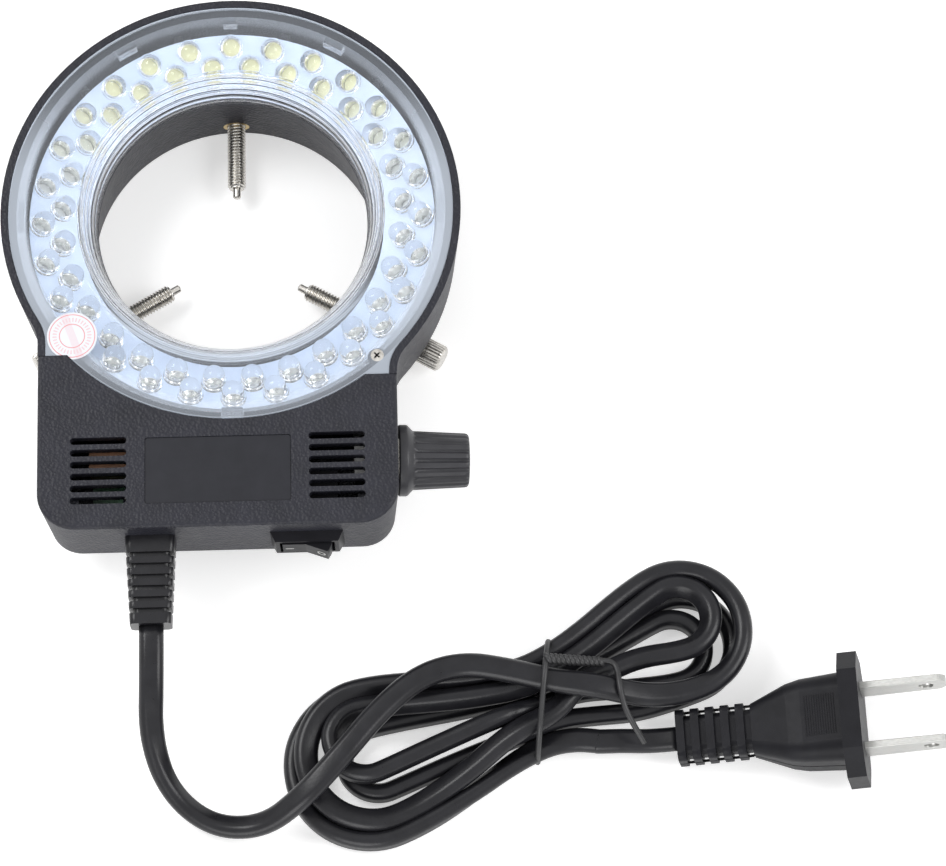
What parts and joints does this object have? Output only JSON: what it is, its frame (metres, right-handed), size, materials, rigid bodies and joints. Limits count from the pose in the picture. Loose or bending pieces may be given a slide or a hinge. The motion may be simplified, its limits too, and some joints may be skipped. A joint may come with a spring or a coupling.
{
  "type": "microscope ring light",
  "caption": "Ring-shaped LED light for a stereo microscope, with a dimmer knob, rocker switch, radial clamp screws and a tied mains cord with a flat-blade plug",
  "frame": {"origin": "centre of the clamping bore on the rear face of the collar", "axes": "+Z is the way the light leaves, +Y points away from the control box, +X is the side of the dimmer knob"},
  "size_m": [0.1934, 0.1796, 0.03],
  "materials": {
    "housing_black": "fine grained black moulding",
    "window_clear": "clear polycarbonate",
    "board_white": "white solder resist",
    "led_clear": "clear epoxy",
    "steel": "nickel-plated steel",
    "brass": "turned brass",
    "knob_black": "satin black",
    "switch_black": "satin black",
    "pot_body": "zinc can",
    "cord_black": "soft black PVC",
    "plug_black": "moulded black PVC",
    "blade": "nickel-plated brass",
    "tie_black": "plastic-covered wire",
    "seal": "printed foil, bare of text",
    "driver_green": "green laminate",
    "cap_sleeve": "dark sleeve",
    "film_brown": "dipped brown",
    "ferrite": "ferrite and tape",
    "wire_red": "PVC"
  },
  "bodies": {
    "lamp": {"rear_housing": "housing_black", "front_cover": "housing_black", "lens_cover": "window_clear", "lens_screws": "steel", "led_board": "board_white", "leds_inner": "led_clear", "leds_outer": "led_clear", "threaded_inserts": "brass", "potentiometer": "pot_body", "pot_nut": "steel", "switch_bezel": "switch_black", "cord_relief": "plug_black", "driver_board": "driver_green", "electrolytic_capacitors": "cap_sleeve", "film_capacitor": "film_brown", "transformer": "ferrite", "bridge_rectifier": "cap_sleeve", "board_screws": "steel", "housing_screws": "steel", "led_wires": "wire_red", "power_cord_lead": "cord_black", "power_cord_hank": "cord_black", "power_cord_tail": "cord_black", "cord_tie": "tie_black", "plug_body": "plug_black", "plug_blades": "blade", "seal_sticker": "seal"},
    "dimmer": {"dimmer_knob": "knob_black", "dimmer_shaft": "steel"},
    "rocker": {"switch_rocker": "switch_black"},
    "clamp_1_travel": {"clamp_tip_1": "steel"},
    "clamp_1_screw": {"clamp_stud_1": "steel", "clamp_head_1": "steel"},
    "clamp_2_travel": {"clamp_tip_2": "steel"},
    "clamp_2_screw": {"clamp_stud_2": "steel", "clamp_head_2": "steel"},
    "clamp_3_travel": {"clamp_tip_3": "steel"},
    "clamp_3_screw": {"clamp_stud_3": "steel", "clamp_head_3": "steel"}
  },
  "joints": [
    {"name": "dimmer_turn", "type": "hinge", "parent": "lamp", "child": "dimmer", "pos_m": [0.03332, -0.0529, 0.0195], "axis": [0.9979, 0, -0.0649], "range_deg": [-150, 150]},
    {"name": "rocker_tilt", "type": "hinge", "parent": "lamp", "child": "rocker", "pos_m": [0.01476, -0.06958, 0.01886], "axis": [0, -0.0649, 0.9979], "range_deg": [0, 20]},
    {"name": "clamp_1_advance", "type": "slide", "parent": "lamp", "child": "clamp_1_travel", "axis": [0, 1, 0], "range_m": [-0.0021, 0.0166]},
    {"name": "clamp_1_turn", "type": "hinge", "parent": "clamp_1_travel", "child": "clamp_1_screw", "pos_m": [0, 0.0133, 0.0045], "axis": [0, 1, 0], "range_deg": [-1085, 8542.1]},
    {"name": "clamp_2_advance", "type": "slide", "parent": "lamp", "child": "clamp_2_travel", "axis": [-0.866, -0.5, 0], "range_m": [-0.00295, 0.0158]},
    {"name": "clamp_2_turn", "type": "hinge", "parent": "clamp_2_travel", "child": "clamp_2_screw", "pos_m": [-0.01225, -0.00707, 0.0045], "axis": [-0.866, -0.5, 0], "range_deg": [-1522.1, 8130.7]},
    {"name": "clamp_3_advance", "type": "slide", "parent": "lamp", "child": "clamp_3_travel", "axis": [0.866, -0.5, 0], "range_m": [-0.0039, 0.0148]},
    {"name": "clamp_3_turn", "type": "hinge", "parent": "clamp_3_travel", "child": "clamp_3_screw", "pos_m": [0.01308, -0.00755, 0.0045], "axis": [0.866, -0.5, 0], "range_deg": [-2010.7, 7616.4]}
  ],
  "couplings": [
    {"joint": "clamp_1_turn", "follows": "clamp_1_advance", "rad_per_m": 8976},
    {"joint": "clamp_2_turn", "follows": "clamp_2_advance", "rad_per_m": 8976},
    {"joint": "clamp_3_turn", "follows": "clamp_3_advance", "rad_per_m": 8976}
  ]
}
